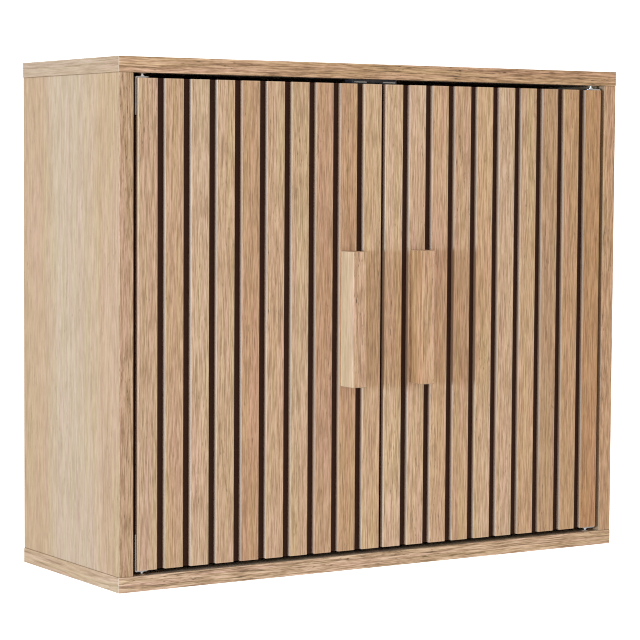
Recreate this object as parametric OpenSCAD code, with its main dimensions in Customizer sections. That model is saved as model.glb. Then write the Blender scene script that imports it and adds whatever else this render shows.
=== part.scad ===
// Hanging wall cabinet with two slatted doors on pin hinges.
// Units: millimetres. +Z is up, +Y points into the wall, the doors face -Y.
// Origin: on the wall plane, midway between the two wall-screw holes of the hanging rail.
// Moves: each door swings out about its own pair of vertical hinge pins, from shut (0) to 110 degrees.
// The shelf lifts off its pins and can be set at other heights; it isn't a joint.

/* [Carcass] */
// Overall width over the top and bottom boards
cab_w = 600; // [560:10:800]
// Overall height
cab_h = 510; // [460:10:720]
// Overall depth without the handles
cab_d = 210; // [190:5:300]
// Board thickness
board_t = 15; // [15:0.5:18]
// How far the top and bottom boards stand past each side panel
overhang = 0.5; // [0:0.1:2]
// Back panel thickness
back_t = 3; // [3:0.5:5]
// Depth of the groove that holds the back panel
groove_d = 5; // [3:0.5:6]
// Height of the hanging rail
rail_h = 60; // [50:5:90]
// Distance between the two wall screws
wall_pitch = 400; // [300:20:480]
// Diameter of a wall-screw hole
wall_hole_d = 6; // [5:0.5:8]

/* [Shelf] */
// Shelf pin diameter
shelf_pin_d = 5; // [4:0.5:6]
// Distance between two heights of the shelf
pin_step = 32; // [25:1:40]
// Number of shelf heights
pin_rows = 5; // [3:2:5]
// Height at which the shelf rests, counted in steps from the middle row
shelf_row = 0; // [-1:1:1]
// Space between the shelf's front edge and the shut doors
shelf_setback = 7; // [5:1:20]

/* [Doors] */
// Gap between a door and its side panel
side_gap = 5; // [4:0.1:6]
// Gap between the two doors
mid_gap = 5; // [4:0.5:8]
// Gap above and below the doors
end_gap = 5; // [4.5:0.5:6]
// Thickness of the dark board behind the slats
backing_t = 10; // [9:0.5:12]
// Thickness of a slat
slat_t = 5; // [4:0.5:6]
// Width of an inner slat
slat_w = 20; // [18:0.5:21]
// Extra width of the slat at each edge of a door
end_extra = 1; // [0:0.5:3]
// Chamfer along the slats' front edges
slat_ease = 0.4; // [0.2:0.1:1]
// Slats on each door
slat_n = 10;

/* [Handles] */
// Handle length
handle_l = 136; // [110:2:180]
// Handle width
handle_w = 16; // [12:0.5:18]
// How far a handle stands out
handle_p = 22; // [18:1:30]
// Rounding of the handle's long edges
handle_r = 1; // [0.5:0.5:3]
// Distance between the two screws of a handle
handle_pitch = 96; // [64:32:96]

/* [Hinges] */
// Hinge pin's distance from the door's edge and from its front face
pin_in = 8; // [7:0.5:8]
// Pin diameter
pin_d = 3; // [2.5:0.1:3.5]
// Bracket thickness
plate_t = 1.5; // [1:0.1:2]
// Bracket width
plate_w = 10; // [8:0.5:10]
// Length of the bracket's leg on the door's side edge
leg_v = 35; // [30:1:45]
// Length of the bracket's leg on the door's end
leg_h = 15; // [13:1:20]

/* [Catch] */
// Width of the magnetic catch
catch_w = 54; // [44:2:64]
// Height of the magnetic catch
catch_h = 13; // [12:1:15]
// Depth of the magnetic catch
catch_d = 15; // [13:1:18]

/* [Hidden] */
$fn = 48;

// Assembly clearance around pieces that are held fast
fit = 0.05;
L = -1;
R = 1;

// Heights: the wall screws are at Z = 0, in the middle of the hanging rail
z_top = board_t + rail_h / 2;
z_bot = z_top - cab_h;
z_ceil = z_top - board_t;
z_floor = z_bot + board_t;
z_mid = (z_ceil + z_floor) / 2;

// Widths
side_out = cab_w / 2 - overhang;
side_in = side_out - board_t;
door_w = side_in - side_gap - mid_gap / 2;
edge_x = side_in - side_gap;

// Depths
y_front = -cab_d;
rail_t = board_t;
y_back = -rail_t - back_t;
y_slat = y_front + slat_t;
y_door = y_slat + backing_t;
y_catch = y_door + plate_t + 0.3;

// Doors
door_h = z_ceil - z_floor - 2 * end_gap;
door_top = z_ceil - end_gap;
door_bot = z_floor + end_gap;
slat_gap = (door_w - slat_n * slat_w - 2 * end_extra) / (slat_n - 1);
pin_x = edge_x - pin_in;
pin_y = y_front + pin_in;
// Handle: middle of the second slat from the free edge
handle_u = end_extra + (slat_n - 2) * (slat_w + slat_gap) + slat_w / 2;
handle_x = edge_x - handle_u;

// Cam and dowel drilling
cam_r = 7.5;
cam_h = 12;
cam_in = 24;
cam_y = [y_front + 37, -42];
dowel_y = [y_front + 69, -74];
dowel_r = 4;
dowel_l = 30;

// Hinge bush
bush_r = 3;
bush_l = 10;
flange_r = 3.5;
flange_t = 0.8;
collar_t = 1;

// Shelf
shelf_pin_y = [y_front + 52, -52];
shelf_z = z_mid + shelf_row * pin_step + shelf_pin_d / 2;

// A box between two corners, given in any order
module blk(a, b) {
  lo = [for (i = [0:2]) min(a[i], b[i])];
  hi = [for (i = [0:2]) max(a[i], b[i])];
  translate(lo) cube(hi - lo);
}

// A cylinder from p, running l along one axis; l may be negative
module rod(p, axis, r, l, r2 = -1) {
  rr = r2 < 0 ? r : r2;
  translate(p)
    rotate(axis == "x" ? [0, 90, 0] : axis == "y" ? [-90, 0, 0] : [0, 0, 0])
      rotate(l < 0 ? [180, 0, 0] : [0, 0, 0])
        cylinder(h = abs(l), r1 = r, r2 = rr);
}

// Drilling for the corner joints, in a horizontal board: d is +1 for the top board and -1 for the bottom board
module board_drilling(d, z) {
  for (s = [L, R]) {
    for (y = cam_y) rod([s * (side_in + board_t / 2), y, z - d * 0.01], "z", 2.5 + fit, d * 11.2);
    for (y = dowel_y) rod([s * (side_in + board_t / 2), y, z - d * 0.01], "z", dowel_r + fit, d * 10.5);
    rod([s * pin_x, pin_y, z - d * 0.01], "z", bush_r + fit, d * 10.5);
  }
}

module side_panel(s) {
  difference() {
    blk([s * side_in, y_front, z_floor], [s * side_out, 0, z_ceil]);
    // groove for the back panel
    blk([s * (side_in - 1), y_back - 0.1, z_floor - 1], [s * (side_in + groove_d), y_back + back_t + 0.1, z_ceil + 1]);
    for (e = [[1, z_ceil], [-1, z_floor]]) {
      for (y = cam_y) {
        rod([s * (side_in - 1), y, e[1] - e[0] * cam_in], "x", cam_r + fit, s * (cam_h + 1.4));
        rod([s * (side_in + board_t / 2), y, e[1] + e[0]], "z", 4, -e[0] * (cam_in + 1));
      }
      for (y = dowel_y) rod([s * (side_in + board_t / 2), y, e[1] + e[0]], "z", dowel_r + fit, -e[0] * 21);
    }
    // rows of shelf-pin holes
    for (y = shelf_pin_y) for (k = [0:pin_rows - 1])
      rod([s * (side_in - 1), y, z_mid + (k - (pin_rows - 1) / 2) * pin_step], "x", shelf_pin_d / 2 + fit, s * 10.5);
    // rail joint: one dowel and one cam bolt
    rod([s * (side_in - 1), -rail_t / 2, rail_h / 2 - 14], "x", dowel_r + fit, s * 10.5);
    rod([s * (side_in - 1), -rail_t / 2, 14 - rail_h / 2], "x", 2.5 + fit, s * 12.2);
  }
}

module cam_lock() {
  // axis along +X from the panel's face; the bolt comes in from +Z
  difference() {
    rod([0, 0, 0], "x", cam_r, cam_h);
    blk([cam_h / 2 - 2.4, -3.7, -3.7], [cam_h + 1, 3.7, cam_r + 1]);
    blk([-1, -0.6, -5], [2.2, 0.6, 5]);
    blk([-1, -5, -0.6], [2.2, 5, 0.6]);
  }
}

module cam_bolt() {
  // stands along +Z; z = 0 is the joint plane, the thread goes up, the head goes down
  rod([0, 0, 0], "z", 2.5, 11);
  rod([0, 0, -cam_in + 3], "z", 2, cam_in - 3);
  rod([0, 0, -cam_in], "z", 3.4, 3);
}

// Slat k of a door, counted from the hinge side
module slat(s, k) {
  first = k == 0;
  last = k == slat_n - 1;
  u0 = first ? 0 : end_extra + k * (slat_w + slat_gap);
  w = first || last ? slat_w + end_extra : slat_w;
  x0 = min(s * (edge_x - u0), s * (edge_x - u0 - w));
  difference() {
    translate([x0, y_slat, door_bot])
      linear_extrude(height = door_h)
        polygon([[0, 0], [0, -slat_t + slat_ease], [slat_ease, -slat_t], [w - slat_ease, -slat_t], [w, -slat_t + slat_ease], [w, 0]]);
    if (k == slat_n - 2)
      for (d = [-1, 1]) rod([s * handle_x, y_slat + 1, z_mid + d * handle_pitch / 2], "y", 2.25, -slat_t - 2);
  }
}

module backing(s) {
  difference() {
    blk([s * edge_x, y_slat, door_bot], [s * (edge_x - door_w), y_door, door_top]);
    // handle screws, with their heads sunk
    for (d = [-1, 1]) {
      rod([s * handle_x, y_slat - 1, z_mid + d * handle_pitch / 2], "y", 2.25, backing_t + 2);
      rod([s * handle_x, y_door + 1, z_mid + d * handle_pitch / 2], "y", 4.5, -4);
    }
    // hinge screws, in the side edge
    for (e = [[1, door_top], [-1, door_bot]]) for (dz = [12, 27])
      rod([s * (edge_x + 1), pin_y, e[1] - e[0] * dz], "x", 1.5 + fit, -s * 15.5);
    // strike screw
    rod([s * strike_x, y_door + 1, strike_z], "y", 1.5 + fit, -9.5);
  }
}

strike_x = mid_gap / 2 + 12.5;
strike_z = door_top - 8.5;

module bracket(s, e, z) {
  difference() {
    union() {
      blk([s * edge_x, pin_y - plate_w / 2, z], [s * (edge_x + plate_t), pin_y + plate_w / 2, z - e * leg_v]);
      blk([s * edge_x, pin_y - plate_w / 2, z], [s * (edge_x - leg_h + plate_w / 2), pin_y + plate_w / 2, z + e * plate_t]);
      rod([s * (edge_x - leg_h + plate_w / 2), pin_y, z], "z", plate_w / 2, e * plate_t);
      intersection() {
        rod([s * edge_x, pin_y - plate_w / 2, z], "y", plate_t, plate_w);
        blk([s * edge_x, pin_y - plate_w / 2, z], [s * (edge_x + plate_t), pin_y + plate_w / 2, z + e * plate_t]);
      }
    }
    rod([s * pin_x, pin_y, z - e], "z", pin_d / 2 + fit, e * (plate_t + 2));
    for (dz = [12, 27]) {
      rod([s * (edge_x - 1), pin_y, z - e * dz], "x", 1.5 + fit, s * (plate_t + 2));
      rod([s * (edge_x + 0.1), pin_y, z - e * dz], "x", 1.5 + fit, s * plate_t, 1.5 + fit + 1.3);
    }
  }
}

// Countersunk screw, axis along X, head flush with the bracket
module plate_screw(s, z) {
  rod([s * (edge_x + plate_t - 0.05), pin_y, z], "x", 1.5, -s * (plate_t + 14));
  rod([s * (edge_x + 0.2), pin_y, z], "x", 1.5, s * (plate_t - 0.25), 2.65);
}

module pins(s) {
  for (e = [[1, door_top], [-1, door_bot]]) {
    rod([s * pin_x, pin_y, e[1] + e[0] * fit], "z", pin_d / 2, e[0] * (end_gap + 8.5));
    rod([s * pin_x, pin_y, e[1] + e[0] * (plate_t + 0.02)], "z", pin_d / 2 + 1, e[0] * collar_t);
  }
}

// Double-ended handle bar: a plain bar with eased long edges
module handle(s) {
  w = handle_w;
  p = handle_p;
  r = handle_r;
  difference() {
    translate([s * handle_x - w / 2, y_front - p, z_mid - handle_l / 2])
      linear_extrude(height = handle_l)
        union() {
          translate([0, r]) square([w, p - r]);
          translate([r, 0]) square([w - 2 * r, p]);
          translate([r, r]) circle(r);
          translate([w - r, r]) circle(r);
        }
    for (d = [-1, 1]) rod([s * handle_x, y_front + 1, z_mid + d * handle_pitch / 2], "y", 2 + fit, -15);
  }
}

module handle_screws(s) {
  for (d = [-1, 1]) {
    zz = z_mid + d * handle_pitch / 2;
    difference() {
      rod([s * handle_x, y_door - 2.9, zz], "y", 4, 2.4);
      rod([s * handle_x, y_door - 1.6, zz], "y", 1.1, 3);
    }
    rod([s * handle_x, y_door - 2.7, zz], "y", 2, -(backing_t - 2.7 + slat_t + 13));
  }
}

module strike(s) {
  difference() {
    blk([s * (strike_x - 9), y_door, strike_z - 6], [s * (strike_x + 9), y_door + 1.2, strike_z + 6]);
    rod([s * strike_x, y_door - 1, strike_z], "y", 1.5 + fit, 4);
    rod([s * strike_x, y_door + 0.1, strike_z], "y", 1.5 + fit, 1.2, 2.75);
  }
}

module strike_screw(s) {
  rod([s * strike_x, y_door + 1.15, strike_z], "y", 1.5, -9);
  rod([s * strike_x, y_door + 0.2, strike_z], "y", 1.5, 0.95, 2.55);
}

module top_board() color([0.78, 0.64, 0.47]) difference() {
  blk([-cab_w / 2, y_front, z_ceil], [cab_w / 2, 0, z_top]);
  blk([-side_in - groove_d, y_back - 0.1, z_ceil - 1], [side_in + groove_d, y_back + back_t + 0.1, z_ceil + groove_d]);
  board_drilling(1, z_ceil);
  for (s = [L, R]) rod([s * catch_hole, y_catch + catch_d - 3.5, z_ceil - 1], "z", 1.5 + fit, 11);
}

module bottom_board() color([0.78, 0.64, 0.47]) difference() {
  blk([-cab_w / 2, y_front, z_bot], [cab_w / 2, 0, z_floor]);
  blk([-side_in - groove_d, y_back - 0.1, z_floor + 1], [side_in + groove_d, y_back + back_t + 0.1, z_floor - groove_d]);
  board_drilling(-1, z_floor);
}

module left_side() color([0.82, 0.71, 0.56]) side_panel(L);
module right_side() color([0.82, 0.71, 0.56]) side_panel(R);

module back_panel() color([0.80, 0.68, 0.52]) difference() {
  blk([-side_in - groove_d + 0.5, y_back, z_floor - groove_d + 0.5], [side_in + groove_d - 0.5, y_back + back_t, z_ceil + groove_d - 0.5]);
  for (s = [L, R]) rod([s * wall_pitch / 2, y_back - 1, 0], "y", wall_hole_d / 2, back_t + 2);
}

module hanging_rail() color([0.78, 0.64, 0.47]) difference() {
  blk([-side_in, -rail_t, -rail_h / 2], [side_in, 0, rail_h / 2]);
  for (s = [L, R]) {
    rod([s * wall_pitch / 2, -rail_t - 1, 0], "y", wall_hole_d / 2, rail_t + 2);
    rod([s * (side_in + 1), -rail_t / 2, rail_h / 2 - 14], "x", dowel_r + fit, -s * 22);
    rod([s * (side_in + 1), -rail_t / 2, 14 - rail_h / 2], "x", 4, -s * (cam_in + 1));
    rod([s * (side_in - cam_in), 1, 14 - rail_h / 2], "y", cam_r + fit, -(cam_h + 1.4));
  }
}

module shelf() color([0.78, 0.64, 0.47])
  blk([-side_in + 1, y_door + shelf_setback, shelf_z], [side_in - 1, y_back - 1, shelf_z + board_t]);

module shelf_pins() color([0.75, 0.75, 0.77])
  for (s = [L, R]) for (y = shelf_pin_y) {
    z = shelf_z - shelf_pin_d / 2;
    rod([s * (side_in + 8), y, z], "x", shelf_pin_d / 2, -s * 16);
    rod([s * side_in, y, z], "x", shelf_pin_d / 2 + 1, -s * 0.95);
  }

module cam_locks() color([0.70, 0.70, 0.72]) {
  for (s = [L, R]) {
    for (e = [[1, z_ceil], [-1, z_floor]]) for (y = cam_y)
      translate([s * (side_in + 0.05), y, e[1] - e[0] * cam_in])
        rotate([e[0] > 0 ? 0 : 180, 0, 0]) rotate([0, 0, s > 0 ? 0 : 180]) cam_lock();
    translate([s * (side_in - cam_in), -0.05, 14 - rail_h / 2])
      rotate([0, 0, -90]) rotate([s > 0 ? -90 : 90, 0, 0]) cam_lock();
  }
}

module cam_bolts() color([0.70, 0.70, 0.72]) {
  for (s = [L, R]) {
    for (e = [[1, z_ceil], [-1, z_floor]]) for (y = cam_y)
      translate([s * (side_in + board_t / 2), y, e[1]]) rotate([e[0] > 0 ? 0 : 180, 0, 0]) cam_bolt();
    translate([s * side_in, -rail_t / 2, 14 - rail_h / 2]) rotate([0, s > 0 ? 90 : -90, 0]) cam_bolt();
  }
}

module wood_dowels() color([0.86, 0.74, 0.55]) {
  for (s = [L, R]) {
    for (e = [[1, z_ceil], [-1, z_floor]]) for (y = dowel_y)
      rod([s * (side_in + board_t / 2), y, e[1] + e[0] * 10], "z", dowel_r, -e[0] * dowel_l);
    rod([s * (side_in + 9), -rail_t / 2, rail_h / 2 - 14], "x", dowel_r, -s * dowel_l);
  }
}

module hinge_bushes() color([0.93, 0.93, 0.91])
  for (s = [L, R]) for (e = [[1, z_ceil], [-1, z_floor]])
    difference() {
      union() {
        rod([s * pin_x, pin_y, e[1]], "z", bush_r, e[0] * bush_l);
        rod([s * pin_x, pin_y, e[1]], "z", flange_r, -e[0] * flange_t);
      }
      rod([s * pin_x, pin_y, e[1] - e[0] * 2], "z", pin_d / 2 + 0.05, e[0] * (bush_l + 1));
    }

catch_hole = 5.5;
magnet_w = 15;
magnet_x = catch_w / 2 - 2 - magnet_w / 2;

module catch_body() color([0.85, 0.85, 0.83]) difference() {
  blk([-catch_w / 2, y_catch + 0.6, z_ceil - catch_h], [catch_w / 2, y_catch + catch_d, z_ceil]);
  for (s = [L, R]) {
    blk([s * magnet_x - magnet_w / 2 - fit, y_catch - 1, z_ceil - catch_h + 2], [s * magnet_x + magnet_w / 2 + fit, y_catch + 10, z_ceil - 2]);
    rod([s * catch_hole, y_catch + catch_d - 3.5, z_ceil - catch_h - 1], "z", 1.5 + fit, catch_h + 2);
    rod([s * catch_hole, y_catch + catch_d - 3.5, z_ceil - catch_h - 1], "z", 3, catch_h - 2);
  }
  blk([-catch_hole - 3.4, y_catch - 1, z_ceil - catch_h - 1], [catch_hole + 3.4, y_catch + 6, z_ceil - 3]);
}

module catch_magnets() color([0.22, 0.22, 0.23])
  for (s = [L, R])
    blk([s * magnet_x - magnet_w / 2 + 0.5, y_catch + 1.1, z_ceil - catch_h + 3.1], [s * magnet_x + magnet_w / 2 - 0.5, y_catch + 9.8, z_ceil - 3.1]);

module catch_poles() color([0.72, 0.72, 0.74])
  for (s = [L, R]) for (z = [z_ceil - catch_h + 2.05, z_ceil - 3.05])
    blk([s * magnet_x - magnet_w / 2, y_catch, z], [s * magnet_x + magnet_w / 2, y_catch + 9.9, z + 1]);

module catch_screws() color([0.72, 0.72, 0.74])
  for (s = [L, R]) {
    rod([s * catch_hole, y_catch + catch_d - 3.5, z_ceil - 3.2], "z", 1.5, 12.5);
    rod([s * catch_hole, y_catch + catch_d - 3.5, z_ceil - 5], "z", 2.8, 1.95);
  }

module left_backing() color([0.12, 0.10, 0.09]) backing(L);
module left_slat_01() color([0.78, 0.65, 0.49]) slat(L, 0);
module left_slat_02() color([0.78, 0.65, 0.49]) slat(L, 1);
module left_slat_03() color([0.78, 0.65, 0.49]) slat(L, 2);
module left_slat_04() color([0.78, 0.65, 0.49]) slat(L, 3);
module left_slat_05() color([0.78, 0.65, 0.49]) slat(L, 4);
module left_slat_06() color([0.78, 0.65, 0.49]) slat(L, 5);
module left_slat_07() color([0.78, 0.65, 0.49]) slat(L, 6);
module left_slat_08() color([0.78, 0.65, 0.49]) slat(L, 7);
module left_slat_09() color([0.78, 0.65, 0.49]) slat(L, 8);
module left_slat_10() color([0.78, 0.65, 0.49]) slat(L, 9);
module left_handle() color([0.80, 0.66, 0.48]) handle(L);
module left_handle_screws() color([0.72, 0.72, 0.74]) handle_screws(L);
module left_hinge_top() color([0.72, 0.72, 0.74]) bracket(L, 1, door_top);
module left_hinge_bottom() color([0.72, 0.72, 0.74]) bracket(L, -1, door_bot);
module left_hinge_pins() color([0.78, 0.78, 0.80]) pins(L);
module left_hinge_screws() color([0.72, 0.72, 0.74])
  for (e = [[1, door_top], [-1, door_bot]]) for (dz = [12, 27]) plate_screw(L, e[1] - e[0] * dz);
module left_strike() color([0.72, 0.72, 0.74]) strike(L);
module left_strike_screw() color([0.72, 0.72, 0.74]) strike_screw(L);

module right_backing() color([0.12, 0.10, 0.09]) backing(R);
module right_slat_01() color([0.78, 0.65, 0.49]) slat(R, 0);
module right_slat_02() color([0.78, 0.65, 0.49]) slat(R, 1);
module right_slat_03() color([0.78, 0.65, 0.49]) slat(R, 2);
module right_slat_04() color([0.78, 0.65, 0.49]) slat(R, 3);
module right_slat_05() color([0.78, 0.65, 0.49]) slat(R, 4);
module right_slat_06() color([0.78, 0.65, 0.49]) slat(R, 5);
module right_slat_07() color([0.78, 0.65, 0.49]) slat(R, 6);
module right_slat_08() color([0.78, 0.65, 0.49]) slat(R, 7);
module right_slat_09() color([0.78, 0.65, 0.49]) slat(R, 8);
module right_slat_10() color([0.78, 0.65, 0.49]) slat(R, 9);
module right_handle() color([0.80, 0.66, 0.48]) handle(R);
module right_handle_screws() color([0.72, 0.72, 0.74]) handle_screws(R);
module right_hinge_top() color([0.72, 0.72, 0.74]) bracket(R, 1, door_top);
module right_hinge_bottom() color([0.72, 0.72, 0.74]) bracket(R, -1, door_bot);
module right_hinge_pins() color([0.78, 0.78, 0.80]) pins(R);
module right_hinge_screws() color([0.72, 0.72, 0.74])
  for (e = [[1, door_top], [-1, door_bot]]) for (dz = [12, 27]) plate_screw(R, e[1] - e[0] * dz);
module right_strike() color([0.72, 0.72, 0.74]) strike(R);
module right_strike_screw() color([0.72, 0.72, 0.74]) strike_screw(R);

top_board();
bottom_board();
left_side();
right_side();
back_panel();
hanging_rail();
shelf();
shelf_pins();
cam_locks();
cam_bolts();
wood_dowels();
hinge_bushes();
catch_body();
catch_magnets();
catch_poles();
catch_screws();
left_backing();
left_slat_01();
left_slat_02();
left_slat_03();
left_slat_04();
left_slat_05();
left_slat_06();
left_slat_07();
left_slat_08();
left_slat_09();
left_slat_10();
left_handle();
left_handle_screws();
left_hinge_top();
left_hinge_bottom();
left_hinge_pins();
left_hinge_screws();
left_strike();
left_strike_screw();
right_backing();
right_slat_01();
right_slat_02();
right_slat_03();
right_slat_04();
right_slat_05();
right_slat_06();
right_slat_07();
right_slat_08();
right_slat_09();
right_slat_10();
right_handle();
right_handle_screws();
right_hinge_top();
right_hinge_bottom();
right_hinge_pins();
right_hinge_screws();
right_strike();
right_strike_screw();
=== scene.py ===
import math

import bpy
from mathutils import Matrix, Vector


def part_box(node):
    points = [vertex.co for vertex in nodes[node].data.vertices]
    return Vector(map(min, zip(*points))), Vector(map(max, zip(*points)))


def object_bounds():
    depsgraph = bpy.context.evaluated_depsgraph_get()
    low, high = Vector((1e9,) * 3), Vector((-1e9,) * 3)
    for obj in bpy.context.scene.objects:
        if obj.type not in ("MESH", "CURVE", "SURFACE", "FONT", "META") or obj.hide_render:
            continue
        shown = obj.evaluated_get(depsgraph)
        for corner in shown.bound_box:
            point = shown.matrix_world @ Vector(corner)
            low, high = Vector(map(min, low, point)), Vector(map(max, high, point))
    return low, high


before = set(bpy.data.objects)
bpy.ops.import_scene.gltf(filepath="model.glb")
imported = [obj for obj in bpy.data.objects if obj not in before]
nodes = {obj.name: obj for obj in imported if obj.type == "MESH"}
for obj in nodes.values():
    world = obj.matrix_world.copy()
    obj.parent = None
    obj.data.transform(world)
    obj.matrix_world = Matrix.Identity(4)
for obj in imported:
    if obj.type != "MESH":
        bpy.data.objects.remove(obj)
cad_lo, cad_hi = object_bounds()
scene = bpy.context.scene


def lin(r, g, b):
    """0-255 display colour to linear."""
    out = []
    for c in (r, g, b):
        c = c / 255
        out.append(c / 12.92 if c <= 0.04045 else ((c + 0.055) / 1.055) ** 2.4)
    return tuple(out)


# ---------------------------------------------------------------- node helper

class Tree:
    """A material with a Principled shader and short calls for its nodes."""

    def __init__(self, name):
        self.mat = bpy.data.materials.new(name)
        self.mat.use_nodes = True
        self.t = self.mat.node_tree
        self.t.nodes.clear()
        self.out = self.t.nodes.new("ShaderNodeOutputMaterial")
        self.bsdf = self.t.nodes.new("ShaderNodeBsdfPrincipled")
        self.t.links.new(self.bsdf.outputs[0], self.out.inputs[0])
        self.coord = self.t.nodes.new("ShaderNodeTexCoord").outputs["Object"]
        sep = self.t.nodes.new("ShaderNodeSeparateXYZ")
        self.t.links.new(self.coord, sep.inputs[0])
        self.x, self.y, self.z = sep.outputs

    def put(self, sock, v):
        if isinstance(v, bpy.types.NodeSocket):
            self.t.links.new(v, sock)
        elif isinstance(v, (tuple, list)) and len(v) == 3 and sock.type == "RGBA":
            sock.default_value = (*v, 1)
        else:
            sock.default_value = v

    def m(self, op, a, b=0.0, c=None, clamp=False):
        n = self.t.nodes.new("ShaderNodeMath")
        n.operation = op
        n.use_clamp = clamp
        self.put(n.inputs[0], a)
        self.put(n.inputs[1], b)
        if c is not None:
            self.put(n.inputs[2], c)
        return n.outputs[0]

    def add(self, *a):
        r = a[0]
        for b in a[1:]:
            r = self.m("ADD", r, b)
        return r

    def mul(self, *a):
        r = a[0]
        for b in a[1:]:
            r = self.m("MULTIPLY", r, b)
        return r

    def step(self, v, lo, hi):
        """0 below lo, 1 above hi, smooth between."""
        n = self.t.nodes.new("ShaderNodeMapRange")
        n.interpolation_type = "SMOOTHSTEP"
        self.put(n.inputs[0], v)
        n.inputs[1].default_value = lo
        n.inputs[2].default_value = hi
        n.inputs[3].default_value = 0
        n.inputs[4].default_value = 1
        return n.outputs[0]

    def mix(self, f, a, b, blend="MIX"):
        n = self.t.nodes.new("ShaderNodeMix")
        n.data_type = "RGBA"
        n.blend_type = blend
        self.put(n.inputs[0], f)
        self.put(n.inputs[6], a)
        self.put(n.inputs[7], b)
        return n.outputs[2]

    def mixf(self, f, a, b):
        n = self.t.nodes.new("ShaderNodeMix")
        n.data_type = "FLOAT"
        self.put(n.inputs[0], f)
        self.put(n.inputs[2], a)
        self.put(n.inputs[3], b)
        return n.outputs[0]

    def scale(self, v, f):
        n = self.t.nodes.new("ShaderNodeVectorMath")
        n.operation = "SCALE"
        self.put(n.inputs[0], v)
        self.put(n.inputs[3], f)
        return n.outputs[0]

    def vec(self, x, y, z):
        n = self.t.nodes.new("ShaderNodeCombineXYZ")
        for s, v in zip(n.inputs, (x, y, z)):
            self.put(s, v)
        return n.outputs[0]

    def map(self, v, scale, offset=(0, 0, 0)):
        n = self.t.nodes.new("ShaderNodeMapping")
        self.put(n.inputs[0], v)
        n.inputs[1].default_value = offset
        n.inputs[3].default_value = scale
        return n.outputs[0]

    def noise(self, v, detail=2.0, rough=0.5, distort=0.0, scale=1.0):
        """Centred on zero, mostly within half a unit."""
        n = self.t.nodes.new("ShaderNodeTexNoise")
        self.put(n.inputs["Vector"], v)
        n.inputs["Scale"].default_value = scale
        n.inputs["Detail"].default_value = detail
        n.inputs["Roughness"].default_value = rough
        n.inputs["Distortion"].default_value = distort
        return self.m("SUBTRACT", n.outputs["Fac"], 0.5)

    def voronoi(self, v, feature="F1"):
        n = self.t.nodes.new("ShaderNodeTexVoronoi")
        n.feature = feature
        self.put(n.inputs["Vector"], v)
        n.inputs["Scale"].default_value = 1
        return n.outputs["Distance"], n.outputs["Color"]

    def bump(self, height, strength, distance, normal=None):
        n = self.t.nodes.new("ShaderNodeBump")
        n.inputs["Strength"].default_value = strength
        n.inputs["Distance"].default_value = distance
        self.put(n.inputs["Height"], height)
        if normal is not None:
            self.put(n.inputs["Normal"], normal)
        return n.outputs[0]

    def finish(self, colour, rough, normal=None, metallic=0.0, spec=0.5):
        self.put(self.bsdf.inputs["Base Color"], colour)
        self.put(self.bsdf.inputs["Roughness"], rough)
        self.bsdf.inputs["Metallic"].default_value = metallic
        self.bsdf.inputs["Specular IOR Level"].default_value = spec
        if normal is not None:
            self.put(self.bsdf.inputs["Normal"], normal)
        return self.mat


def axes(axis, across, along):
    return {"X": (along, across, across), "Y": (across, along, across), "Z": (across, across, along)}[axis]


def seeded(s, k=1.0):
    return (11.37 * s * k + 3.1, 7.91 * s * k + 1.7, 5.23 * s * k + 9.4)


# ------------------------------------------------------------------ wood

def crisp(t, v, w):
    """Pushes a soft noise towards its two ends, still centred on zero."""
    return t.m("SUBTRACT", t.step(v, -w, w), 0.5)


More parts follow.
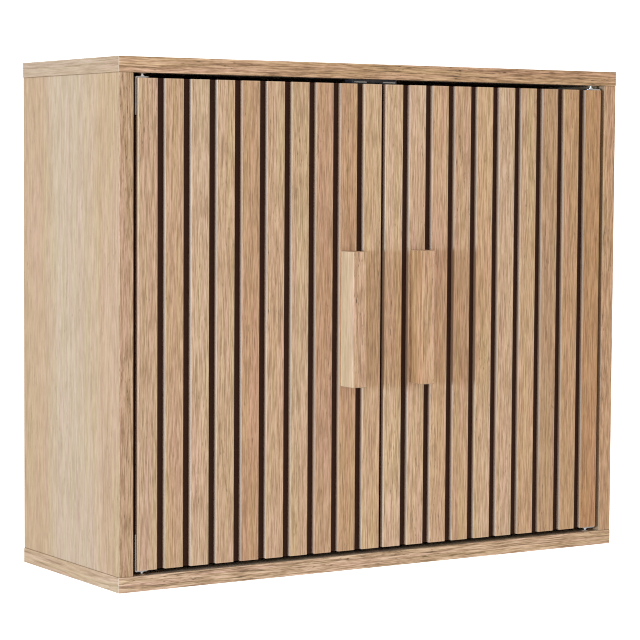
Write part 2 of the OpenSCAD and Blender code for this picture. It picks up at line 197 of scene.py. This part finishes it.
def grain(t, axis, seed, patch=0.0, broad=0.2, ring=0.2, streak=0.2, fine=0.2, pores=0.25, wander=1.0, width=1.0, scale=1.0, along=1.0):
    """Layers of long-grained wood: returns brightness (around 1), hue (around 0), height and the broad patches (around 0).
    scale makes every layer finer across the grain, along makes the fine ones shorter, width makes the broad patches wider."""
    # the grain wanders sideways along the board, more in some places
    w = t.noise(t.map(t.coord, axes(axis, 7, 2.2), seeded(seed)), 2, 0.5)
    w2 = t.noise(t.map(t.coord, axes(axis, 40, 16), seeded(seed, 0.6)), 1, 0.5)
    w = t.add(t.mul(w, 0.016 * wander), t.mul(w2, 0.0014 * wander))
    shift = {"X": (0, w, w), "Y": (w, 0, w), "Z": (w, w, 0)}[axis]
    n = t.t.nodes.new("ShaderNodeVectorMath")
    n.operation = "ADD"
    t.put(n.inputs[0], t.coord)
    t.put(n.inputs[1], t.vec(*shift))
    p = n.outputs[0]
    pa = crisp(t, t.noise(t.map(p, axes(axis, 15 / width, 1.5), seeded(seed, 1.3)), 2, 0.55), 0.2)
    b = t.noise(t.map(p, axes(axis, 55 * scale, 2.0), seeded(seed, 1.9)), 2, 0.5)
    # narrow lines along the contours of a slow field: they run close and wide apart, and close into flames
    field = t.noise(t.map(p, axes(axis, 34 * scale, 1.0), seeded(seed, 1.7)), 1.5, 0.4)
    r = t.m("SINE", t.mul(field, 10 * 2 * math.pi))
    r = t.m("POWER", t.m("ADD", t.mul(r, 0.5), 0.5, clamp=True), 2.2)
    cut = t.step(t.noise(t.map(p, axes(axis, 340 * scale, 18 * along), seeded(seed, 2.1)), 2, 0.6), -0.14, 0.16)
    r = t.mul(r, cut)
    s = crisp(t, t.noise(t.map(p, axes(axis, 420 * scale, 9 * along), seeded(seed, 2.9)), 2, 0.6), 0.20)
    f = crisp(t, t.noise(t.map(p, axes(axis, 720 * scale, 28 * along), seeded(seed, 3.7)), 1, 0.6), 0.17)
    f2 = t.noise(t.map(p, axes(axis, 1050 * scale, 110 * along), seeded(seed, 4.9)), 1, 0.5)
    po = t.noise(t.map(p, axes(axis, 760 * scale, 95 * along), seeded(seed, 4.3)), 1, 0.5)
    dash = t.step(po, 0.15, 0.23)
    where = t.step(t.noise(t.map(p, axes(axis, 60, 6), seeded(seed, 5.1)), 1, 0.5), -0.02, 0.12)
    dash = t.mul(dash, t.mixf(where, 0.25, 1.0))
    hue = t.noise(t.map(p, axes(axis, 170 * scale, 5.0), seeded(seed, 6.3)), 2, 0.6)
    v = t.add(1.0, t.mul(pa, patch), t.mul(b, broad), t.mul(r, -ring), t.mul(s, streak), t.mul(f, fine), t.mul(f2, fine * 1.2), t.mul(dash, -pores))
    v = t.m("ADD", v, ring * 0.17)
    h = t.add(t.mul(s, 0.4), t.mul(f, 0.6), t.mul(r, -0.4), t.mul(dash, -0.8))
    return v, hue, h, pa


def tint(t, base, v, hue, amount=1.0, pa=None, warm=0.0):
    """base times v, pulled towards pink or towards yellow by hue, and towards cream by the broad patches."""
    k = 0.055 * amount
    pink = (base[0] * (1 + k * 0.45), base[1] * (1 - k * 0.45), base[2] * (1 + k * 0.50))
    yell = (base[0] * (1 - k * 0.10), base[1] * (1 + k * 0.25), base[2] * (1 - k * 1.25))
    f = t.m("ADD", t.mul(hue, 3.0), 0.5, clamp=True)
    c = t.mix(f, pink, yell)
    if pa is not None:
        g = t.mix(t.m("ADD", pa, 0.5), (1 + 0.35 * warm, 1 - 0.35 * warm, 1 - 1.0 * warm), (1 - 0.1 * warm, 1 + 0.35 * warm, 1 + 0.9 * warm))
        c = t.mix(1.0, c, g, "MULTIPLY")
    # darker streaks are browner, paler ones greyer
    dark = t.m("SUBTRACT", 1.0, v)
    f = t.m("ADD", t.mul(dark, 1.3), 0.5, clamp=True)
    g = t.mix(f, (0.955, 1.005, 1.085), (1.065, 0.985, 0.86))
    return t.scale(t.mix(1.0, c, g, "MULTIPLY"), t.m("MAXIMUM", v, 0.15))


def raw_board(t, seed, base):
    """Pressed chips on an edge without a band: a height, a colour."""
    d, col = t.voronoi(t.map(t.coord, (330, 330, 330), seeded(seed)))
    n = t.noise(t.map(t.coord, (700, 700, 700), seeded(seed, 2.2)), 3, 0.7)
    sep = t.t.nodes.new("ShaderNodeSeparateXYZ")
    t.put(sep.inputs[0], col)
    v = t.add(0.86, t.mul(t.m("SUBTRACT", sep.outputs[0], 0.5), 0.34), t.mul(n, 0.7))
    return t.scale(t.mix(0.0, base, base), v), t.add(t.mul(d, -0.6), n)


FACE = dict(patch=0.10, broad=0.12, ring=0.12, streak=0.12, fine=0.22, pores=0.26, wander=1.9, scale=0.6, width=0.9, along=1.3)
BAND = dict(patch=0.02, broad=0.02, ring=0.05, streak=0.15, fine=0.58, pores=0.52, wander=0.6, scale=1.2, along=1.5)
BAND_X = dict(patch=0.04, broad=0.05, ring=0.30, streak=0.46, fine=0.74, pores=0.70, wander=0.6, scale=1.2, along=1.35)
SLAT = dict(patch=0.04, broad=0.03, ring=0.05, streak=0.22, fine=0.49, pores=0.44, wander=0.55, scale=1.2, along=1.4)


def panel_wood(name, axis, seed, face, edge, y_band, x_end=None, end=None, edge_left=None, y_raw=-0.0006, z_joint_shade=(), heart=None, **kw):
    """Laminated board: faces, a banded front edge, end bands and a raw rear edge."""
    t = Tree(name)
    v, hue, h, pa = grain(t, axis, seed, **{**FACE, **kw})
    if heart is not None:
        # one wide paler zone runs the length of the board, with a ragged border
        off = t.m("ABSOLUTE", t.m("SUBTRACT", t.m("ADD", t.y, t.mul(pa, 0.022)), heart))
        zone = t.m("SUBTRACT", t.step(off, 0.066, 0.030), 0.5)
        v = t.m("ADD", v, t.mul(t.m("SUBTRACT", zone, pa), 0.09))
        pa = t.m("ADD", t.mul(pa, 0.3), t.mul(zone, 1.0))
    c = tint(t, face, v, hue, 1.1, pa, 0.085)
    height = t.mul(h, 0.7)
    rough = t.add(0.47, t.mul(h, 0.10))
    # front band: stronger brown streaks
    v2, hue2, h2, pa2 = grain(t, axis, seed + 31, **(BAND_X if axis == "X" else BAND))
    e = edge
    if edge_left is not None:
        e = t.mix(t.m("ADD", t.mul(t.x, 1 / 0.6), 0.5, clamp=True), edge_left, edge)
        tone = tint(t, (1, 1, 1), v2, hue2, 1.3)
        c2 = t.mix(1.0, e, tone, "MULTIPLY")
    else:
        c2 = tint(t, e, v2, hue2, 1.3)
    band = t.m("LESS_THAN", t.y, y_band + 0.0005)
    c = t.mix(band, c, c2)
    height = t.mixf(band, height, h2)
    rough = t.mixf(band, rough, 0.52)
    # the band's own thickness catches the light where it meets the face
    joint = t.mul(t.m("GREATER_THAN", t.y, y_band + 0.0002), t.m("LESS_THAN", t.y, y_band + 0.0010))
    light = (min(1, face[0] * 1.16), min(1, face[1] * 1.2), min(1, face[2] * 1.26))
    c = t.mix(t.mul(joint, 0.6), c, light)
    if x_end is not None:
        v3, hue3, h3, pa3 = grain(t, "Y", seed + 57, patch=0.10, broad=0.10, ring=0.34, streak=0.18, fine=0.26, pores=0.24, wander=1.6, scale=1.1)
        c3 = tint(t, end, v3, hue3, 0.8, pa3, 0.05)
        ends = t.m("GREATER_THAN", t.m("ABSOLUTE", t.x), x_end - 0.0004)
        ends = t.mul(ends, t.m("GREATER_THAN", t.y, y_band + 0.0010))
        c = t.mix(ends, c, c3)
        height = t.mixf(ends, height, h3)
    # painted shade: a thin dark line where one board meets the next, standing for the shade in the tiny gap between
    # them
    for z, way in z_joint_shade:
        near = t.step(t.mul(t.m("SUBTRACT", t.z, z), way), 0.0011, 0.0002)
        c = t.mix(t.mul(near, 0.55), c, (face[0] * 0.42, face[1] * 0.34, face[2] * 0.28))
    # rear edge, against the wall, has no band
    c4, h4 = raw_board(t, seed, (face[0] * 0.86, face[1] * 0.80, face[2] * 0.72))
    raw = t.m("GREATER_THAN", t.y, y_raw)
    c = t.mix(raw, c, c4)
    height = t.mixf(raw, height, h4)
    rough = t.mixf(raw, rough, 0.85)
    # scattered faint scuffs change only the gloss
    scuff = t.step(t.noise(t.map(t.coord, (26, 26, 26), seeded(seed, 8.8)), 5, 0.75), 0.10, 0.24)
    rough = t.add(rough, t.mul(scuff, 0.06))
    return t.finish(c, rough, t.bump(height, 0.22, 0.0002))


def slat_wood(name, seed, base, box, side_tone=None, contrast=1.0, top_light=0.12):
    """One slat: foil-wrapped strip with fine straight grain, paler long sides and a painted highlight along its
    arrises.
    """
    t = Tree(name)
    lo, hi = box
    kw = {k: (x * contrast if k in ("patch", "broad", "ring", "streak", "fine") else x) for k, x in SLAT.items()}
    v, hue, h, pa = grain(t, "Z", seed, **kw)
    c = tint(t, base, v, hue, 1.6, pa, 0.06)
    # long sides of the strip
    side = t.m("GREATER_THAN", t.y, lo[1] + 0.0007)
    v2 = t.add(1.0, t.mul(t.noise(t.map(t.coord, (60, 400, 5), seeded(seed, 9.1)), 2, 0.6), 0.45))
    pale = side_tone or (0.53, 0.383, 0.282)
    c = t.mix(side, c, t.scale(t.mix(0.0, pale, pale), v2))
    # painted highlight: the slat's arrises are painted lighter, broken up by noise
    dx = t.m("MINIMUM", t.m("SUBTRACT", t.x, lo[0]), t.m("SUBTRACT", hi[0], t.x))
    dz = t.m("MINIMUM", t.m("SUBTRACT", t.z, lo[2]), t.m("SUBTRACT", hi[2], t.z))
    rub_and_highlight_noise = t.noise(t.map(t.coord, (90, 90, 22), seeded(seed, 7.7)), 3, 0.6)
    arris_highlight = t.m("MAXIMUM", t.step(dx, 0.0013, 0.0004), t.step(dz, 0.0014, 0.0005))
    arris_highlight = t.mul(arris_highlight, t.m("ADD", t.mul(rub_and_highlight_noise, 1.6), 0.6, clamp=True), t.m("SUBTRACT", 1.0, side))
    # painted highlight: the arrises are mixed towards a lighter colour
    c = t.mix(t.mul(arris_highlight, top_light * 4), c, (min(1, base[0] * 1.22), min(1, base[1] * 1.28), min(1, base[2] * 1.38)))
    rough = t.add(0.50, t.mul(h, 0.10), t.mul(side, 0.15))
    return t.finish(c, rough, t.bump(h, 0.26, 0.0002))


def handle_wood(name, seed, front, side, x_left, side_grain):
    """Solid bar with its own grain on its left face and another on its other faces; the caller adds the end grain on
    its ends.
    """
    t = Tree(name)
    v, hue, h, pa = grain(t, "Z", seed, patch=0.05, broad=0.08, ring=0.14, streak=0.34, fine=0.50, pores=0.60, wander=0.7, scale=1.15, along=1.5)
    c = tint(t, front, v, hue, 1.6)
    v2, hue2, h2, pa2 = grain(t, "Z", seed + 13, patch=0.04, broad=0.2 * side_grain, ring=0.40 * side_grain, streak=0.34 * side_grain, fine=0.60 * side_grain, pores=0.35 * side_grain, wander=1.2, scale=0.72)
    c2 = tint(t, side, v2, hue2, 0.9)
    left = t.m("LESS_THAN", t.x, x_left + 0.0009)
    c = t.mix(left, c, c2)
    hh = t.mixf(left, h, h2)
    return t, c, hh


# ------------------------------------------------------------- materials

FRONT = 1.0  # how bright a white front face is under this light


def albedo(r, g, b, k=1.0, cool=0.0):
    """Surface colour that shows as r, g, b in light k times the front's; cool is how much bluer that light is."""
    ks = (k * (1 - 0.083 * cool), k, k * (1 + 0.084 * cool))
    return tuple(min(0.95, c / q) for c, q in zip(lin(r, g, b), ks))


Y0 = cad_lo[1]
y_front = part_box("left_side")[0][1]
mats = {}

# heights of the board joints, where a line of painted shade runs
JOINT_SHADE_Z = [(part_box("left_side")[1][2], -1), (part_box("left_side")[0][2], 1)]
side_face = albedo(207, 183, 155, 1.51, 1)
mats["left_side"] = panel_wood("laminate_left_side", "Z", 3, side_face, albedo(186, 151, 121), y_front,
                               z_joint_shade=JOINT_SHADE_Z, heart=-0.108)
mats["right_side"] = panel_wood("laminate_right_side", "Z", 8, side_face, albedo(191, 153, 118), y_front,
                                z_joint_shade=JOINT_SHADE_Z)
board_face = albedo(205, 180, 152, 1.2)
mats["top_board"] = panel_wood("laminate_top", "X", 14, board_face, albedo(185, 147, 112), y_front, 0.3, albedo(208, 183, 156, 1.69, 1),
                               albedo(192, 155, 122))
mats["bottom_board"] = panel_wood("laminate_bottom", "X", 21, board_face, albedo(193, 160, 130), y_front, 0.3, albedo(214, 187, 158, 1.66, 1),
                                  albedo(200, 168, 138))
shelf_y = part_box("shelf")[0][1]
mats["shelf"] = panel_wood("laminate_shelf", "X", 27, board_face, albedo(190, 157, 126), shelf_y, None, None, None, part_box("shelf")[1][1] - 0.0006)
mats["hanging_rail"] = panel_wood("laminate_rail", "X", 33, board_face, albedo(190, 157, 126), -1.0, None, None, None, -0.0006)

SLATS = {
    "left": [(193, 160, 129), (192, 157, 124), (199, 169, 138), (198, 167, 137), (190, 152, 119), (198, 164, 132), (197, 164, 131), (189, 152, 121), (191, 154, 121), (200, 168, 134)],
    "right": [(206, 177, 147), (203, 172, 143), (201, 165, 132), (196, 163, 131), (203, 170, 135), (202, 170, 138), (198, 164, 129), (185, 148, 114), (192, 154, 116), (183, 140, 99)][::-1],
}
for s in ("left", "right"):
    for i in range(10):
        n = f"{s}_slat_{i + 1:02d}"
        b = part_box(n)
        seed = 40 + 3 * i + (0 if s == "left" else 41)
        mats[n] = slat_wood("slat_" + n, seed, albedo(*SLATS[s][i]), b, contrast=1.0)


def handle_mat(s, seed, front, side, side_grain):
    lo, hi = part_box(f"{s}_handle")
    t, c, h = handle_wood(f"handle_{s}", seed, front, side, lo[0], side_grain)
    # end grain: arcs of the rings and open pores
    ends = t.m("MAXIMUM", t.m("GREATER_THAN", t.z, hi[2] - 0.0005), t.m("LESS_THAN", t.z, lo[2] + 0.0005))
    cx = t.m("SUBTRACT", t.x, lo[0] - 0.03)
    cy = t.m("SUBTRACT", t.y, lo[1] - 0.02)
    rad = t.m("SQRT", t.add(t.mul(cx, cx), t.mul(cy, cy)))
    ring = t.m("SINE", t.add(t.mul(rad, 2600), t.mul(t.noise(t.map(t.coord, (150, 150, 10), seeded(seed, 3))), 5)))
    dots = t.step(t.noise(t.map(t.coord, (1700, 1700, 300), seeded(seed, 5)), 1), 0.12, 0.22)
    v = t.add(0.80, t.mul(ring, 0.07), t.mul(dots, -0.3))
    c = t.mix(ends, c, t.scale(t.mix(0.0, front, front), v))
    return t.finish(c, t.add(0.46, t.mul(h, 0.12)), t.bump(h, 0.25, 0.0002))


mats["left_handle"] = handle_mat("left", 5, albedo(201, 165, 133), albedo(199, 178, 151, 1.0, 1.2), 0.36)
mats["right_handle"] = handle_mat("right", 9, albedo(199, 161, 127), albedo(184, 149, 114, 1.0, 1.2), 0.85)


def dark_board():
    t = Tree("dark_backing")
    n = t.noise(t.map(t.coord, (240, 240, 240)), 4, 0.7)
    f = t.noise(t.map(t.coord, (1600, 1600, 500)), 2, 0.6)
    v = t.add(1.0, t.mul(n, 0.7), t.mul(f, 0.6))
    face = t.scale(t.mix(0.0, (0.047, 0.0190, 0.0115), (0, 0, 0)), v)
    lo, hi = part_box("left_backing")
    ax = t.m("ABSOLUTE", t.x)
    edge = t.m("MAXIMUM", t.m("LESS_THAN", ax, abs(hi[0]) + 0.0004), t.m("GREATER_THAN", ax, abs(lo[0]) - 0.0004))
    edge = t.m("MAXIMUM", edge, t.m("MAXIMUM", t.m("GREATER_THAN", t.z, hi[2] - 0.0004), t.m("LESS_THAN", t.z, lo[2] + 0.0004)))
    fib = t.noise(t.map(t.coord, (500, 1400, 500)), 3, 0.7)
    core = t.scale(t.mix(0.0, (0.085, 0.032, 0.022), (0, 0, 0)), t.add(1.0, t.mul(fib, 0.9)))
    c = t.mix(edge, face, core)
    rub_and_highlight_noise = t.step(t.noise(t.map(t.coord, (30, 30, 30)), 5, 0.75), 0.12, 0.3)
    rough = t.add(0.62, t.mul(n, 0.12), t.mul(rub_and_highlight_noise, -0.08))
    return t.finish(c, rough, t.bump(t.add(n, f), 0.25, 0.0002), spec=0.12)


def back_board():
    t = Tree("back_panel_board")
    v, hue, h, pa = grain(t, "X", 77, **FACE)
    c = tint(t, albedo(200, 175, 146, 1.15), v, hue)
    lo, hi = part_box("back_panel")
    rear = t.m("GREATER_THAN", t.y, hi[1] - 0.0003)
    n = t.noise(t.map(t.coord, (900, 900, 900)), 4, 0.75)
    m = t.noise(t.map(t.coord, (35, 35, 35)), 3, 0.6)
    fibre = t.scale(t.mix(0.0, (0.235, 0.145, 0.082), (0, 0, 0)), t.add(1.0, t.mul(n, 0.6), t.mul(m, 0.35)))
    c = t.mix(rear, c, fibre)
    return t.finish(c, t.mixf(rear, 0.5, 0.88), t.bump(t.mixf(rear, h, n), 0.3, 0.0003))


def beech():
    t = Tree("beech_dowel")
    v, hue, h, pa = grain(t, "Z", 91, fine=0.15, streak=0.12, pores=0.5)
    return t.finish(tint(t, (0.60, 0.43, 0.26), v, hue), 0.6, t.bump(h, 0.3, 0.0002))


def zinc(name, base=(0.50, 0.50, 0.505), rough0=0.34, brushed="Z"):
    t = Tree(name)
    s = t.noise(t.map(t.coord, axes(brushed, 2600, 160)), 3, 0.6)
    m = t.noise(t.map(t.coord, (120, 120, 120)), 4, 0.65)
    spots = t.step(t.noise(t.map(t.coord, (420, 420, 420)), 2, 0.5), 0.12, 0.24)
    v = t.add(1.0, t.mul(s, 0.22), t.mul(m, 0.30), t.mul(spots, -0.10))
    c = t.scale(t.mix(t.m("ADD", t.mul(m, 2.5), 0.5, clamp=True), base, (base[0] * 0.97, base[1] * 0.99, base[2] * 1.04)), v)
    rough = t.add(rough0, t.mul(s, 0.14), t.mul(m, 0.16), t.mul(spots, 0.10))
    return t.finish(c, rough, t.bump(t.add(t.mul(s, 0.6), m), 0.12, 0.0001), metallic=1.0)


def nylon(name, base):
    t = Tree(name)
    n = t.noise(t.map(t.coord, (700, 700, 700)), 3, 0.6)
    m = t.noise(t.map(t.coord, (90, 90, 90)), 3, 0.6)
    c = t.scale(t.mix(0.0, base, base), t.add(1.0, t.mul(m, 0.12), t.mul(n, 0.06)))
    return t.finish(c, t.add(0.42, t.mul(n, 0.15)), t.bump(n, 0.12, 0.0001))


def ferrite():
    t = Tree("magnet_ferrite")
    n = t.noise(t.map(t.coord, (900, 900, 900)), 4, 0.7)
    c = t.scale(t.mix(0.0, (0.035, 0.034, 0.036), (0, 0, 0)), t.add(1.0, t.mul(n, 0.8)))
    return t.finish(c, t.add(0.55, t.mul(n, 0.3)), t.bump(n, 0.4, 0.0002), spec=0.6)


dark, back, beech_m = dark_board(), back_board(), beech()
zinc_v = zinc("zinc_plate")
zinc_s = zinc("zinc_screw", (0.66, 0.66, 0.66), 0.26, "X")
pin_m = zinc("zinc_pin", (0.74, 0.74, 0.75), 0.22)
bush_m = nylon("nylon_bush", (0.36, 0.25, 0.165))
# painted shade: the catch body gets a near-black tone, darker than its plastic, so it looks shaded in the slit above
# the doors
catch_painted_shade_plastic = nylon("catch_plastic_painted_shade", (0.080, 0.068, 0.072))
strike_m = zinc("steel_strike", (0.13, 0.12, 0.125), 0.42, "X")
ferr = ferrite()
for n in nodes:
    if n in mats:
        continue
    if n.endswith("backing"):
        mats[n] = dark
    elif n == "back_panel":
        mats[n] = back
    elif n == "wood_dowels":
        mats[n] = beech_m
    elif n == "hinge_bushes":
        mats[n] = bush_m
    elif n == "catch_body":
        mats[n] = catch_painted_shade_plastic
    elif n.endswith("strike"):
        mats[n] = strike_m
    elif n == "catch_magnets":
        mats[n] = ferr
    elif n.endswith("hinge_pins"):
        mats[n] = pin_m
    elif "screw" in n or n in ("cam_locks", "cam_bolts", "shelf_pins"):
        mats[n] = zinc_s
    else:
        mats[n] = zinc_v
for n, o in nodes.items():
    for sl in o.material_slots:
        sl.material = mats[n]


# ------------------------------------------------------------- softened edges

def soften(o, width, segments=2, angle=38, clamp=False):
    w = o.modifiers.new("join", "WELD")
    w.merge_threshold = 0.000004
    b = o.modifiers.new("soft_edges", "BEVEL")
    b.width = width
    b.segments = segments
    b.limit_method = "ANGLE"
    b.angle_limit = math.radians(angle)
    b.use_clamp_overlap = clamp
    b.miter_outer = "MITER_ARC"
    b.harden_normals = True


BEVELS = {}
for n in nodes:
    if "slat" in n:
        soften(nodes[n], 0.00018, 2, 25)
    elif n in ("top_board", "bottom_board", "left_side", "right_side", "shelf"):
        soften(nodes[n], 0.0004, 2, 50)
    elif n.endswith("handle"):
        soften(nodes[n], 0.0004, 3, 50)
    elif n.endswith("backing"):
        soften(nodes[n], 0.0003, 2, 50)
    elif "hinge_top" in n or "hinge_bottom" in n or n.endswith("strike"):
        soften(nodes[n], 0.00015, 2, 50)
    elif n == "catch_body":
        soften(nodes[n], 0.0003, 2, 50)


# ------------------------------------------------------------- camera

F_PX, AZ, PITCH, ROLL = 2364.0, 32.40, 3.76, 0.34
az, pt, ro = (math.radians(a) for a in (AZ, PITCH, ROLL))
v = Vector((math.sin(az) * math.cos(pt), math.cos(az) * math.cos(pt), -math.sin(pt)))
right = v.cross(Vector((0, 0, 1))).normalized()
up = right.cross(v)
r2 = right * math.cos(ro) + up * math.sin(ro)
u2 = up * math.cos(ro) - right * math.sin(ro)
cam = bpy.data.objects.new("camera", bpy.data.cameras.new("camera"))
scene.collection.objects.link(cam)
cam.data.sensor_width = 36
cam.data.lens = F_PX * 36 / 640
cam.data.clip_start, cam.data.clip_end = 0.05, 200
cam.data.dof.use_dof = False
mw = Matrix((r2, u2, -v)).transposed().to_4x4()
mw.translation = Vector((-1.334, -2.194, -0.056))
cam.matrix_world = mw
scene.camera = cam

# ------------------------------------------------------------- studio

world = bpy.data.worlds.new("studio")
scene.world = world
world.use_nodes = True
bg = world.node_tree.nodes.get("Background") or world.node_tree.nodes.new("ShaderNodeBackground")
bg.inputs[0].default_value = (1.0, 0.945, 0.875, 1)
bg.inputs[1].default_value = 0.795
out = world.node_tree.nodes.get("World Output") or world.node_tree.nodes.new("ShaderNodeOutputWorld")
world.node_tree.links.new(bg.outputs[0], out.inputs[0])


def stage_mesh(name, verts, faces, colour, strength):
    me = bpy.data.meshes.new(name)
    me.from_pydata(verts, [], faces)
    o = bpy.data.objects.new(name, me)
    scene.collection.objects.link(o)
    mt = bpy.data.materials.new(name)
    mt.use_nodes = True
    b = mt.node_tree.nodes["Principled BSDF"]
    b.inputs["Base Color"].default_value = (*colour, 1)
    b.inputs["Roughness"].default_value = 0.9
    b.inputs["Emission Color"].default_value = (*colour, 1)
    b.inputs["Emission Strength"].default_value = strength
    me.materials.append(mt)
    for flag in ("visible_diffuse", "visible_glossy", "visible_transmission", "visible_shadow"):
        setattr(o, flag, False)
    return o


# a wide pale floor far below, curving up into a pale backdrop all round
R, FLOOR = 18.0, -4.0
vs, fs = [], []
N = 48
rings_ = [(0.0, FLOOR), (12.0, FLOOR), (15.0, FLOOR + 0.6), (17.0, FLOOR + 2.2), (R, FLOOR + 5.0), (R, 10.0), (13.0, 16.0), (0.0, 18.0)]
for r_, z_ in rings_:
    for k in range(N):
        a = 2 * math.pi * k / N
        vs.append((r_ * math.cos(a), r_ * math.sin(a), z_))
for j in range(len(rings_) - 1):
    for k in range(N):
        a, b = j * N + k, j * N + (k + 1) % N
        fs.append((a, b, b + N, a + N))
stage_mesh("studio_floor_and_backdrop", vs, fs, (0.98, 0.98, 0.98), 1.0)


def area(name, loc, target, size, power, colour=(1, 1, 1)):
    d = bpy.data.lights.new(name, "AREA")
    d.shape = "SQUARE"
    d.size = size
    d.energy = power
    d.color = colour
    o = bpy.data.objects.new(name, d)
    scene.collection.objects.link(o)
    o.location = loc
    o.rotation_mode = "QUATERNION"
    o.rotation_quaternion = (Vector(target) - Vector(loc)).to_track_quat("-Z", "Y")
    return o


area("key_softbox", (-2.473, -0.953, -0.12), (0, -0.15, -0.21), 0.32, 56.0, (0.554, 0.769, 1.0))

if hasattr(scene, "cycles"):
    scene.cycles.filter_width = 1.1
scene.view_settings.view_transform = "Standard"
scene.view_settings.look = "None"
scene.view_settings.exposure = 0.0
scene.view_settings.gamma = 1.0
